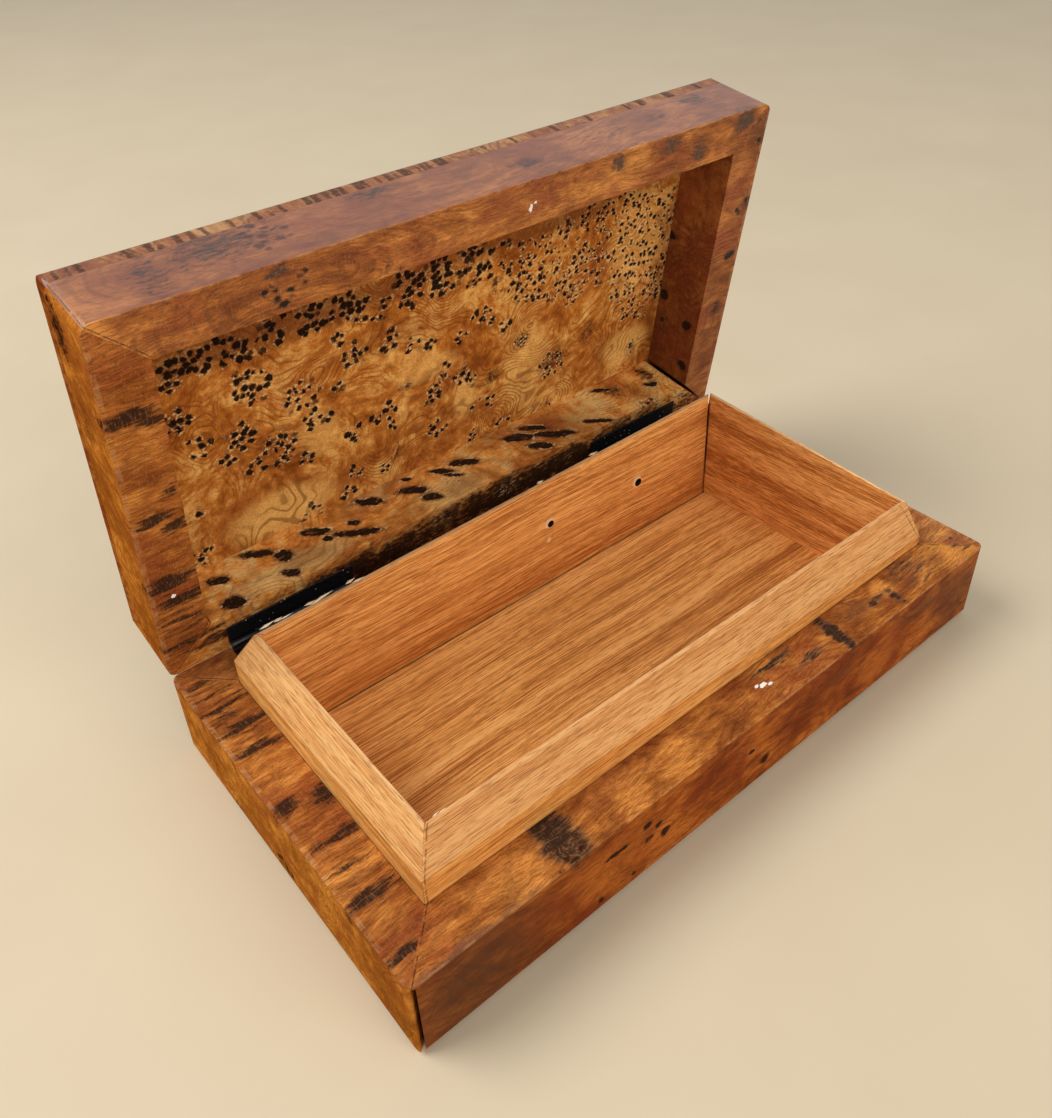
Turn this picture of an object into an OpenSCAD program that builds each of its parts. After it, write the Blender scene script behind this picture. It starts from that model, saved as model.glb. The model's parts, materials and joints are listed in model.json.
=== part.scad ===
// Hinged wooden box: mitred burl walls, a laid-on lid panel, a standing cedar lining
// and two small butt hinges. Millimetres. X is the length, -Y the front, +Z up.
// The origin is the middle of the underside of the base. The lid stands open.

/* [Box] */
// Length of the box, left to right
box_length = 200; // [170:1:260]
// Width of the box, front to back
box_width = 108; // [90:1:150]
// Height of the base, from its underside to its rim
base_height = 26; // [24:0.5:40]
// Height of the lid, from its rim to its top
lid_height = 24; // [24:0.5:36]
// Thickness of the base walls
base_wall = 12.8; // [12.6:0.1:16]
// Thickness of the lid walls, less than the base walls so that the lid clears the lining
lid_wall = 12.4; // [11:0.1:12.4]
// Thickness of the panel laid on top of the lid walls
lid_panel = 6; // [4:0.5:6]
// Thickness of the bottom board let in between the base walls
bottom_board_t = 4; // [3:0.5:5]
// Thickness of the cedar floor board
floor_board_t = 2; // [1.5:0.5:3]
// Radius of the upright outer corners
corner_radius = 2.5; // [1:0.5:4]
// Radius of the bottom edges of the base and the top edges of the lid
edge_radius = 3; // [1:0.5:3.5]

/* [Lining] */
// Thickness of the lining strips
lining_t = 6; // [5:0.5:8]
// Thickness that is left of the right strip at its front end
lining_thin_t = 3.5; // [3:0.5:5]
// Width of the flat left on top of each strip, as a share of its thickness
lining_flat = 0.2; // [0.1:0.05:0.4]
// Height of the lining above the base rim at the front left corner
lining_top_fl = 15.5; // [12:0.5:18]
// Height of the lining above the base rim at the front right corner
lining_top_fr = 13.5; // [12:0.5:18]
// Height of the lining above the base rim at the back right corner
lining_top_br = 18.5; // [12:0.5:18.5]
// Height of the lining above the base rim at the back left corner
lining_top_bl = 16.5; // [12:0.5:18.5]
// Upright part of the lining's outer face above the rim, front left and both back corners
lining_foot = 7.5; // [2:0.5:8]
// The same upright part at the front right corner, where the bevel runs down further
lining_foot_fr = 2.5; // [2:0.5:8]

/* [Hinges] */
// Angle that the lid stands open
lid_open = 81; // [45:1:81]
// Gap between the base rim and the lid rim when the lid is shut
rim_gap = 0.8; // [0.6:0.1:1.2]
// Length of each hinge
hinge_length = 38; // [30:1:45]
// Distance of the hinges' centres from the middle of the box
hinge_offset = 64; // [50:1:66]
// Width of each leaf, from the pin's axis
leaf_width = 7.4; // [7:0.1:9]
// Thickness of each leaf
leaf_t = 1; // [0.8:0.1:1.2]
// Radius of the knuckles
knuckle_radius = 1.6; // [1.4:0.1:1.8]
// Radius of the hinge pins
pin_radius = 0.8; // [0.6:0.1:0.9]
// Distance of the pins' axis inside the back face
pin_inset = 0.45; // [0.3:0.05:0.45]
// Distance of the screws from the pin's axis
screw_reach = 4.9; // [4.5:0.1:5]
// Distance between the two screws of a leaf
screw_spacing = 23; // [18:1:24]
// Length of the screws
screw_length = 8; // [6:0.5:10]

/* [Worm holes] */
// Places of the two small holes along the back strip
hole_x = [12.5, 49]; // [-60:0.5:60]
// Heights of the same holes above the underside of the base
hole_z = [28, 25.5]; // [16:0.5:34]
// Radius of each hole
hole_radius = [1.1, 1.3]; // [0.5:0.1:1.5]
// Depth of the holes
hole_depth = 3; // [1:0.5:4]

/* [Open joints] */
// Width of the mitre that has opened at the front left corner of the base
corner_gap = 1.4; // [0.2:0.1:2]
// Width, inside the lid, of the open mitre between its back and right walls
lid_joint_gap = 1.2; // [0.2:0.1:1.6]
// Width, at the top, of the open joint at the back right corner of the lining
lining_joint_gap = 0.8; // [0.2:0.1:1.2]

/* [Hidden] */
$fn = 64;

half_l = box_length / 2;
half_w = box_width / 2;
over = 1;                      // how far a cutter runs past the face that it cuts
floor_z = bottom_board_t + floor_board_t;

pin_y = half_w - pin_inset;
pin_z = base_height + rim_gap / 2;
leaf_gap = 0.1;                // gap between the two leaves when the lid is shut
leaf_face = leaf_gap / 2;      // from the pin's axis to a leaf's inner face
knuckles = 5;
knuckle_gap = 0.2;
knuckle_pitch = hinge_length / knuckles;
knuckle_clear = 0.2;           // room around a knuckle that turns in the other leaf
barrel_clear = 0.35;           // room around the barrel in the wood
mortise_play = 0.2;            // room at each end of a leaf in its mortise
pin_play = 0.04;               // radial running fit in the lid leaf's knuckles
screw_head_radius = 1.9;
screw_shank_radius = 0.9;
screw_slot = [4, 0.5, 0.4];    // length, width and depth of the driver slot

lining_gap = 0.2;              // glue line between the base walls and the lining
lining_x = half_l - base_wall - lining_gap;
lining_y = half_w - base_wall - lining_gap;
// Corners of the lining, anticlockwise from the front left, each with the plan place of
// its outer and inner edge, its height above the rim and that of its upright outer part
LINING = [
    [[-lining_x, -lining_y], [lining_t, lining_t], lining_top_fl, lining_foot],
    [[lining_x, -lining_y], [-lining_thin_t, lining_t], lining_top_fr, lining_foot_fr],
    [[lining_x, lining_y], [-lining_t, -lining_t], lining_top_br, lining_foot],
    [[-lining_x, lining_y], [lining_t, -lining_t], lining_top_bl, lining_foot]
];

BURL = "sienna";
BURL_DARK = "saddlebrown";
CEDAR = "peru";
HINGE_BLACK = [0.1, 0.1, 0.1];

// --- Wooden shell -----------------------------------------------------------------

// Plan of the box with its rounded corners
module plan() {
    r = corner_radius;
    square([box_length - 2 * r, box_width], center = true);
    square([box_length, box_width - 2 * r], center = true);
    for (x = [-1, 1], y = [-1, 1])
        translate([x * (half_l - r), y * (half_w - r)]) circle(r);
}

// Side view of a block of a given span and height, its two top edges rounded
module domed_profile(span, height) {
    r = edge_radius;
    translate([-span / 2, 0]) square([span, height - r]);
    translate([-span / 2 + r, 0]) square([span - 2 * r, height]);
    for (side = [-1, 1]) translate([side * (span / 2 - r), height - r]) circle(r);
}

// Block with the box's plan, all its top edges rounded
module domed_block(height) {
    intersection() {
        linear_extrude(height) plan();
        rotate([90, 0, 0]) linear_extrude(box_width + 2 * over, center = true)
            domed_profile(box_length, height);
        rotate([90, 0, 90]) linear_extrude(box_length + 2 * over, center = true)
            domed_profile(box_width, height);
    }
}

// Ring of four walls with upright corners rounded
module wall_ring(height, wall) {
    linear_extrude(height) difference() {
        plan();
        square([box_length - 2 * wall, box_width - 2 * wall], center = true);
    }
}

// Everything on one side of the mitres: 0 front, 1 right, 2 back, 3 left
module mitre_wedge(side, height, wall) {
    deep = wall + over;
    ends = side % 2 == 0 ? half_l : half_w;
    reach = side % 2 == 0 ? half_w : half_l;
    rotate(90 * side) translate([0, 0, -over]) linear_extrude(height + 2 * over)
        polygon([[-ends - over, -reach - over], [ends + over, -reach - over],
                 [ends - deep, -reach + deep], [-ends + deep, -reach + deep]]);
}

module base_wall_piece(side) {
    color(side % 2 == 0 ? BURL : BURL_DARK) intersection() {
        translate([0, 0, base_height]) mirror([0, 0, 1]) domed_block(base_height);
        wall_ring(base_height, base_wall);
        mitre_wedge(side, base_height, base_wall);
    }
}

// The lid is drawn shut and then turned open about the pins
module lid_turned() {
    translate([0, pin_y, pin_z]) rotate([-lid_open, 0, 0]) translate([0, -pin_y, -pin_z]) children();
}

module lid_wall_piece(side) {
    wall_h = lid_height - lid_panel;
    color(side % 2 == 0 ? BURL : BURL_DARK) translate([0, 0, base_height + rim_gap]) intersection() {
        wall_ring(wall_h, lid_wall);
        mitre_wedge(side, wall_h, lid_wall);
    }
}

// Plan of a mitre that gapes at the corner and closes inwards, for the wall on its right
module gaping_mitre(width) {
    closed_at = 6;
    translate([-half_l, -half_w]) rotate(45)
        polygon([[closed_at, 0], [-over, 0], [-over, -width * (1 + over / closed_at)]]);
}

// Plan of a mitre that is closed at the corner and gapes inwards, for the wall on its left
module inward_wedge(width) {
    closed_at = 3;
    inner_corner = sqrt(2) * lid_wall;
    deep = 2 * inner_corner;
    polygon([[-closed_at, 0], [-deep, width * (deep - closed_at) / (inner_corner - closed_at)],
             [-deep, -over]]);
}

module base_front_wall() {
    lip = 1;                   // the rim above the gap is whole
    difference() {
        base_wall_piece(0);
        translate([0, 0, -over]) linear_extrude(base_height - lip + over) gaping_mitre(corner_gap);
    }
}

module base_right_wall() {
    base_wall_piece(1);
}

module base_back_wall() {
    difference() {
        base_wall_piece(2);
        hinge_mortises();
        base_screws_unslotted();
    }
}

module base_left_wall() {
    base_wall_piece(3);
}

module lid_front_wall() {
    lid_turned() lid_wall_piece(0);
}

module lid_right_wall() {
    lid_turned() lid_wall_piece(1);
}

module lid_back_wall() {
    lid_turned() difference() {
        lid_wall_piece(2);
        hinge_mortises();
        shut_lid_side() base_screws_unslotted();
        translate([half_l, half_w, base_height]) linear_extrude(lid_height) rotate(45)
            inward_wedge(lid_joint_gap);
    }
}

module lid_left_wall() {
    lid_turned() lid_wall_piece(3);
}

module lid_top_panel() {
    color(BURL) lid_turned() translate([0, 0, base_height + rim_gap]) difference() {
        domed_block(lid_height);
        translate([0, 0, -over]) linear_extrude(lid_height - lid_panel + over)
            square([box_length + over, box_width + over], center = true);
    }
}

module bottom_board() {
    color(BURL_DARK) linear_extrude(bottom_board_t)
        square([box_length - 2 * base_wall, box_width - 2 * base_wall], center = true);
}

module floor_board() {
    color(CEDAR) translate([0, 0, bottom_board_t]) linear_extrude(floor_board_t)
        square([2 * lining_x, 2 * lining_y], center = true);
}

// --- Lining -----------------------------------------------------------------------

// Five points of the strips' section in the mitre plane of one corner
function mitre_section(corner) =
    let (outer = corner[0], across = corner[1],
         inner_top = base_height + corner[2], foot_top = base_height + corner[3],
         flat_at = outer + across * (1 - lining_flat), inner = outer + across)
    [[outer.x, outer.y, floor_z], [inner.x, inner.y, floor_z], [inner.x, inner.y, inner_top],
     [flat_at.x, flat_at.y, inner_top], [outer.x, outer.y, foot_top]];

// The same points for a strip that runs to the left and has shrunk away from its mitre,
// by a quarter of the gap at the floor and by all of it on top
function shrunk_section(corner) =
    let (whole = base_height + corner[2] - floor_z)
    [for (p = mitre_section(corner))
        p - [sqrt(2) * lining_joint_gap * (0.25 + 0.75 * (p.z - floor_z) / whole), 0, 0]];

// Strip between two corners of the lining, the second one next anticlockwise
module lining_strip(first, second) {
    color(CEDAR) polyhedron(
        points = concat(first, second),
        faces = [[0, 1, 2, 3, 4], [9, 8, 7, 6, 5],
                 [0, 5, 6, 1], [1, 6, 7, 2], [4, 9, 5, 0],
                 [2, 7, 8], [2, 8, 3], [3, 8, 9], [3, 9, 4]]);
}

module lining_front() {
    lining_strip(mitre_section(LINING[0]), mitre_section(LINING[1]));
}

module lining_right() {
    lining_strip(mitre_section(LINING[1]), mitre_section(LINING[2]));
}

module lining_back() {
    difference() {
        lining_strip(shrunk_section(LINING[2]), mitre_section(LINING[3]));
        for (i = [0, 1]) translate([hole_x[i], lining_y - lining_t - over, hole_z[i]])
            rotate([-90, 0, 0]) cylinder(h = over + hole_depth, r = hole_radius[i]);
    }
}

module lining_left() {
    lining_strip(mitre_section(LINING[3]), mitre_section(LINING[0]));
}

// --- Hinges -----------------------------------------------------------------------

// Turns what belongs to the base side of a shut hinge over to its lid side
module shut_lid_side() {
    translate([0, 0, 2 * pin_z]) mirror([0, 0, 1]) children();
}

// Cylinder along X on the pins' axis, from one place to another
module on_axis(from, to, r) {
    translate([from, pin_y, pin_z]) rotate([0, 90, 0]) cylinder(h = to - from, r = r);
}

// Room in both rims for the leaves and the barrel
module hinge_mortises() {
    deep = leaf_face + leaf_t;
    span = hinge_length + 2 * mortise_play;
    for (side = [-1, 1]) {
        from = side * hinge_offset - span / 2;
        translate([from, pin_y - leaf_width, pin_z - deep])
            cube([span, leaf_width + pin_inset + over, 2 * deep]);
        on_axis(from, from + span, knuckle_radius + barrel_clear);
    }
}

// Leaf with the knuckles whose numbers are given, on the base side of a shut hinge
module leaf(centre, own, others, bore) {
    from = centre - hinge_length / 2;
    difference() {
        union() {
            translate([from, pin_y - leaf_width, pin_z - leaf_face - leaf_t])
                cube([hinge_length, leaf_width, leaf_t]);
            for (i = own) on_axis(from + i * knuckle_pitch, from + (i + 1) * knuckle_pitch, knuckle_radius);
        }
        for (i = others)
            on_axis(from + i * knuckle_pitch - knuckle_gap / 2,
                    from + (i + 1) * knuckle_pitch + knuckle_gap / 2,
                    knuckle_radius + knuckle_clear);
        on_axis(from - over, from + hinge_length + over, bore);
        leaf_screws(centre);
    }
}

module base_leaf(side) {
    color(HINGE_BLACK) leaf(side * hinge_offset, [0, 2, 4], [1, 3], pin_radius);
}

module lid_leaf(side) {
    color(HINGE_BLACK) lid_turned() shut_lid_side()
        leaf(side * hinge_offset, [1, 3], [0, 2, 4], pin_radius + pin_play);
}

module hinge_pin(side) {
    from = side * hinge_offset - hinge_length / 2;
    color(HINGE_BLACK) on_axis(from, from + hinge_length, pin_radius);
}

// One countersunk screw, its head's face at the origin and its point down
module screw() {
    mirror([0, 0, 1]) {
        cylinder(h = leaf_t, r1 = screw_head_radius, r2 = screw_shank_radius);
        cylinder(h = screw_length - 1.5, r = screw_shank_radius);
        translate([0, 0, screw_length - 1.5]) cylinder(h = 1.5, r1 = screw_shank_radius, r2 = 0.2);
    }
}

module leaf_screws(centre) {
    for (x = [-1, 1])
        translate([centre + x * screw_spacing / 2, pin_y - screw_reach, pin_z - leaf_face]) screw();
}

// The screws of both base leaves, before their slots are cut
module base_screws_unslotted() {
    for (side = [-1, 1]) leaf_screws(side * hinge_offset);
}

module slotted_screws() {
    difference() {
        base_screws_unslotted();
        for (side = [-1, 1], x = [-1, 1])
            translate([side * hinge_offset + x * screw_spacing / 2, pin_y - screw_reach, pin_z - leaf_face])
                rotate(35 * x) cube([screw_slot[0], screw_slot[1], 2 * screw_slot[2]], center = true);
    }
}

module base_hinge_screws() {
    color(HINGE_BLACK) slotted_screws();
}

module lid_hinge_screws() {
    color(HINGE_BLACK) lid_turned() shut_lid_side() slotted_screws();
}

base_front_wall();
base_back_wall();
base_left_wall();
base_right_wall();
bottom_board();
floor_board();
lining_front();
lining_right();
lining_back();
lining_left();
lid_front_wall();
lid_back_wall();
lid_left_wall();
lid_right_wall();
lid_top_panel();
base_leaf(-1);  // left_hinge_base_leaf
lid_leaf(-1);  // left_hinge_lid_leaf
hinge_pin(-1);  // left_hinge_pin
base_leaf(1);  // right_hinge_base_leaf
lid_leaf(1);  // right_hinge_lid_leaf
hinge_pin(1);  // right_hinge_pin
base_hinge_screws();
lid_hinge_screws();
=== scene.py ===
"""Looks of the hinged burl box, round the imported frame: burl walls, varnished outside and bare
on the rims, a golden burl lid panel, a bare cedar lining and black lacquered hinges.
Objects are in metres. Patterns are in millimetres, in the box's own frame with its lid shut."""

import json
import math
import random

import bmesh
import bpy
from mathutils import Matrix, Vector

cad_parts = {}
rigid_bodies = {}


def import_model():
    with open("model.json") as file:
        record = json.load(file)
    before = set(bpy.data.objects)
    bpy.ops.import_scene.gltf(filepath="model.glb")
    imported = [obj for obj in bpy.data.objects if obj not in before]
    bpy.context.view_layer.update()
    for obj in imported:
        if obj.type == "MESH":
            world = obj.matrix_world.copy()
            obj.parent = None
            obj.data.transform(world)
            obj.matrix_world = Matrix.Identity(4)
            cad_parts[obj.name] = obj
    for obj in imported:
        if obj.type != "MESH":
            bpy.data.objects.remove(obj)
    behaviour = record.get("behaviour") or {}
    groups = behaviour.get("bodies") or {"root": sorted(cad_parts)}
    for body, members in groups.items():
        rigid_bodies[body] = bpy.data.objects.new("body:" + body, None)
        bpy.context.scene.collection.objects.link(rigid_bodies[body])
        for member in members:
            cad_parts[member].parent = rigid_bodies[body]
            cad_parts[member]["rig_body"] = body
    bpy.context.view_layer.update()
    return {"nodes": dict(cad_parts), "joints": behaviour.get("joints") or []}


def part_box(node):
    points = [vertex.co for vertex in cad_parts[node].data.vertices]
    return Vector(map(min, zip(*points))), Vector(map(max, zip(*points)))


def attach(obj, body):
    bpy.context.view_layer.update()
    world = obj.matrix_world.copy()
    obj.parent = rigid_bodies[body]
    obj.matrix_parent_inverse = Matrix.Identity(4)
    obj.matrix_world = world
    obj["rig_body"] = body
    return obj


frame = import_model()

MM = 0.001
LID_JOINT = frame["joints"][0]
PIN = Vector(LID_JOINT["pos_m"])
LID_OPEN = math.radians(-LID_JOINT["range_deg"][0])
BASE_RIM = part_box("base_front_wall")[1].z / MM
HALF_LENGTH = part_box("base_front_wall")[1].x / MM
HALF_WIDTH = -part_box("base_front_wall")[0].y / MM
RIM_GAP = 2 * (PIN.z / MM - BASE_RIM)
LID_RIM = BASE_RIM + RIM_GAP
LID_HEIGHT = 24
LID_TOP = LID_RIM + LID_HEIGHT

# --- Camera, light and floor --------------------------------------------------------

CAMERA_PLACE = Vector((-144.8, -153.7, 220.9)) * MM
CAMERA_TARGET = Vector((24.0, 60.4, 30.0)) * MM
CAMERA_ROLL = math.radians(-2.4)
CAMERA_LENS = 33.67  # for the 36 mm long side of the sensor
CAMERA_SHIFT = -0.082
LIGHT_TARGET = (0, 0, 0.04)
WINDOW_COLOUR = (1.0, 0.98, 0.95)
FRONT_COLOUR = (1.0, 0.96, 0.9)
SKY_COLOUR = (0.92, 0.95, 1.0, 1)
SKY_STRENGTH = 0.5
FLOOR_REACH = 4.0
FLOOR_COLOURS = ((0.60, 0.49, 0.33), (0.66, 0.55, 0.38))


def make_camera():
    data = bpy.data.cameras.new("camera")
    data.lens = CAMERA_LENS
    data.shift_y = CAMERA_SHIFT
    data.clip_start = 0.01
    camera = bpy.data.objects.new("camera", data)
    aim = (CAMERA_TARGET - CAMERA_PLACE).to_track_quat("-Z", "Y").to_matrix().to_4x4()
    camera.matrix_world = Matrix.Translation(CAMERA_PLACE) @ aim @ Matrix.Rotation(CAMERA_ROLL, 4, "Z")
    bpy.context.scene.collection.objects.link(camera)
    bpy.context.scene.camera = camera


def area_light(name, place, size, power, colour):
    data = bpy.data.lights.new(name, "AREA")
    data.shape = "DISK"
    data.size = size
    data.energy = power
    data.color = colour
    light = bpy.data.objects.new(name, data)
    light.location = place
    aim = Vector(LIGHT_TARGET) - Vector(place)
    light.rotation_euler = aim.to_track_quat("-Z", "Y").to_euler()
    bpy.context.scene.collection.objects.link(light)


def make_lights():
    area_light("window", place=(-0.7, 0.5, 1.1), size=0.9, power=14, colour=WINDOW_COLOUR)
    area_light("front", place=(0.1, -1.3, 0.75), size=1.4, power=12, colour=FRONT_COLOUR)
    world = bpy.data.worlds.new("studio")
    world.use_nodes = True
    background = world.node_tree.nodes["Background"]
    background.inputs["Color"].default_value = SKY_COLOUR
    background.inputs["Strength"].default_value = SKY_STRENGTH
    bpy.context.scene.world = world
    bpy.context.scene.view_settings.view_transform = "Standard"


def make_floor():
    mesh = bpy.data.meshes.new("floor")
    signs = ((-1, -1), (1, -1), (1, 1), (-1, 1))
    corners = [(x * FLOOR_REACH, y * FLOOR_REACH, 0) for x, y in signs]
    mesh.from_pydata(corners, [], [(0, 1, 2, 3)])
    floor = bpy.data.objects.new("studio_floor", mesh)
    bpy.context.scene.collection.objects.link(floor)
    shader = Shader("studio_floor")
    grain = shader.noise(shader.metres_to_mm(shader.object_place()), 60, detail=3)
    colour = shader.mix(grain, *FLOOR_COLOURS)
    shader.finish(colour, roughness=0.7)
    mesh.materials.append(shader.material)


# --- Shader arithmetic --------------------------------------------------------------


class Value:
    """A shader socket, or a number, with arithmetic that adds Math nodes."""

    def __init__(self, shader, socket):
        self.shader = shader
        self.socket = socket

    def __add__(self, other):
        return self.shader.math("ADD", self, other)

    def __sub__(self, other):
        return self.shader.math("SUBTRACT", self, other)

    def __rsub__(self, other):
        return self.shader.math("SUBTRACT", other, self)

    def __mul__(self, other):
        return self.shader.math("MULTIPLY", self, other)

    __radd__ = __add__
    __rmul__ = __mul__


class Shader:
    """One material's nodes. Each call adds a node and returns what comes out of it."""

    def __init__(self, name):
        self.material = bpy.data.materials.new(name)
        self.material.use_nodes = True
        self.tree = self.material.node_tree
        self.tree.nodes.clear()

    def node(self, kind, **settings):
        node = self.tree.nodes.new("ShaderNode" + kind)
        for key, value in settings.items():
            setattr(node, key, value)
        return node

    def feed(self, socket, value):
        if isinstance(value, Value):
            value = value.socket
        if isinstance(value, bpy.types.NodeSocket):
            self.tree.links.new(value, socket)
        elif isinstance(value, tuple) and len(socket.default_value) == 4:
            socket.default_value = (*value, 1)
        else:
            socket.default_value = value

    def math(self, operation, *values):
        node = self.node("Math", operation=operation)
        for socket, value in zip(node.inputs, values):
            self.feed(socket, value)
        return Value(self, node.outputs[0])

    def vector(self, operation, *values, out="Vector"):
        node = self.node("VectorMath", operation=operation)
        for socket, value in zip(node.inputs, values):
            self.feed(socket, value)
        return Value(self, node.outputs[out])

    def scaled(self, vector, factor):
        node = self.node("VectorMath", operation="SCALE")
        self.feed(node.inputs["Vector"], vector)
        self.feed(node.inputs["Scale"], factor)
        return Value(self, node.outputs[0])

    def step(self, value, low, high):
        """0 below low and 1 above high, smooth between; low may be above high."""
        node = self.node("MapRange", interpolation_type="SMOOTHSTEP")
        for socket, given in zip(node.inputs, (value, low, high, 0.0, 1.0)):
            self.feed(socket, given)
        return Value(self, node.outputs[0])

    def noise(self, vector, size, detail=2, roughness=0.5, out="Fac"):
        """Noise of about that size in millimetres."""
        node = self.node("TexNoise")
        self.feed(node.inputs["Vector"], vector)
        self.feed(node.inputs["Scale"], 1 / size)
        self.feed(node.inputs["Detail"], detail)
        self.feed(node.inputs["Roughness"], roughness)
        return Value(self, node.outputs[out])

    def cells(self, vector, size, dimensions="3D"):
        """Random cells of that size: (distance from the middle in mm, random values, middle)."""
        node = self.node("TexVoronoi", voronoi_dimensions=dimensions)
        self.feed(node.inputs["Vector"], vector)
        self.feed(node.inputs["Scale"], 1 / size)
        parts = self.node("SeparateColor")
        self.feed(parts.inputs[0], node.outputs["Color"])
        distance = Value(self, node.outputs["Distance"]) * size
        chances = [Value(self, output) for output in parts.outputs]
        return distance, chances, Value(self, node.outputs["Position"])

    def warped(self, vector, size, reach):
        """The place moved up to reach mm by noise of that size."""
        drift = self.vector("SUBTRACT", self.noise(vector, size, out="Color"), (0.5, 0.5, 0.5))
        return self.vector("ADD", vector, self.scaled(drift, 2 * reach))

    def turned(self, vector, angle):
        """The place turned about the Y axis."""
        node = self.node("VectorRotate", rotation_type="Y_AXIS")
        self.feed(node.inputs["Vector"], vector)
        self.feed(node.inputs["Angle"], math.radians(angle))
        return Value(self, node.outputs[0])

    def mix(self, factor, a, b, blend="MIX"):
        node = self.node("Mix", data_type="RGBA", blend_type=blend)
        for socket, value in zip((node.inputs[0], node.inputs[6], node.inputs[7]), (factor, a, b)):
            self.feed(socket, value)
        return Value(self, node.outputs[2])

    def ramp(self, factor, stops):
        """Colour along stops of (place, colour)."""
        node = self.node("ValToRGB")
        elements = node.color_ramp.elements
        while len(elements) < len(stops):
            elements.new(1.0)
        for element, (place, colour) in zip(elements, stops):
            element.position = place
            element.color = (*colour, 1)
        self.feed(node.inputs[0], factor)
        return Value(self, node.outputs[0])

    def split(self, vector):
        node = self.node("SeparateXYZ")
        self.feed(node.inputs[0], vector)
        return [Value(self, output) for output in node.outputs]

    def object_place(self):
        return Value(self, self.node("TexCoord").outputs["Object"])

    def metres_to_mm(self, place):
        return self.scaled(place, 1 / MM)

    def shut_place(self, on_lid):
        """Place in millimetres in the box's frame with its lid shut."""
        place = self.object_place()
        if on_lid:
            turn = Matrix.Rotation(LID_OPEN, 3, "X")
            node = self.node("Mapping")
            node.inputs["Rotation"].default_value = (LID_OPEN, 0, 0)
            node.inputs["Location"].default_value = PIN - turn @ PIN
            self.feed(node.inputs["Vector"], place)
            place = Value(self, node.outputs[0])
        return self.metres_to_mm(place)

    def finish(self, colour, roughness=0.5, height=None, relief=0.1, coat=0.0, coat_roughness=0.1):
        """Ends the material. relief is the depth in millimetres of the height's whole range."""
        shader = self.node("BsdfPrincipled")
        self.feed(shader.inputs["Base Color"], colour)
        self.feed(shader.inputs["Roughness"], roughness)
        self.feed(shader.inputs["Coat Weight"], coat)
        shader.inputs["Coat Roughness"].default_value = coat_roughness
        if height is not None:
            bump = self.node("Bump")
            bump.inputs["Distance"].default_value = relief * MM
            self.feed(bump.inputs["Height"], height)
            self.tree.links.new(bump.outputs[0], shader.inputs["Normal"])
        output = self.node("OutputMaterial")
        self.tree.links.new(shader.outputs[0], output.inputs[0])
        return shader


# --- Burl ---------------------------------------------------------------------------

EYE_BLACK = (0.012, 0.006, 0.004)
EYE_EDGE = (0.10, 0.028, 0.010)
SMOKE = (0.024, 0.012, 0.008)
RUDDY = (0.30, 0.062, 0.018)  # the redder areas of the wood
MITRE_OFFSET = HALF_LENGTH - HALF_WIDTH  # every mitre lies where |x| - |y| is this
THROUGH = 1000  # half size of a patch along an axis that it runs right through
LID_BACK_FACE = 41.6  # y of the inner face of the lid's back wall


def patch_mask(shader, place, patches, outer=1.15, inner=0.55):
    """Soft patches at given places: (middle, half size, strength), in millimetres."""
    total = None
    for middle, half_size, strength in patches:
        offset = shader.vector("SUBTRACT", place, middle)
        ratio = shader.vector("DIVIDE", offset, half_size)
        length = shader.vector("LENGTH", ratio, out="Value")
        mask = shader.step(length, outer, inner) * strength
        total = mask if total is None else shader.math("MAXIMUM", total, mask)
    return Value(shader, 0.0) if total is None else total


def flat_clusters(clusters):
    """Patches for clusters of eyes given as (x, y, radius), the same at every height."""
    spread = 1.15
    return [((x, y, 0), (spread * radius, spread * radius, THROUGH), 1.0) for x, y, radius in clusters]


def face_knots(face, knots):
    """Long knots on an upright face at y = face, each given as (x, z, half width, half height)."""
    return [((x, face, z), (half_x, 2, half_z)) for x, z, half_x, half_z in knots]


def contour_lines(shader, place, look):
    """Growth rings that wrap round the clusters: dark lines at a steady pitch."""
    cells = shader.node("TexVoronoi", feature="SMOOTH_F1")
    shader.feed(cells.inputs["Vector"], shader.vector("MULTIPLY", place, look["ring_stretch"]))
    shader.feed(cells.inputs["Scale"], 1 / look["ring_cells"])
    shader.feed(cells.inputs["Smoothness"], 0.6)
    rings = Value(shader, cells.outputs["Distance"]) * look["ring_cells"]
    drift = shader.noise(shader.vector("MULTIPLY", place, look["ring_stretch"]), 24, detail=2)
    phase = (rings * 0.8 + drift * look["ring_drift"]) * (2 * math.pi / look["ring_pitch"])
    wave = shader.math("SINE", phase)
    return shader.step(wave, 0.2, 1.0)


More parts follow.
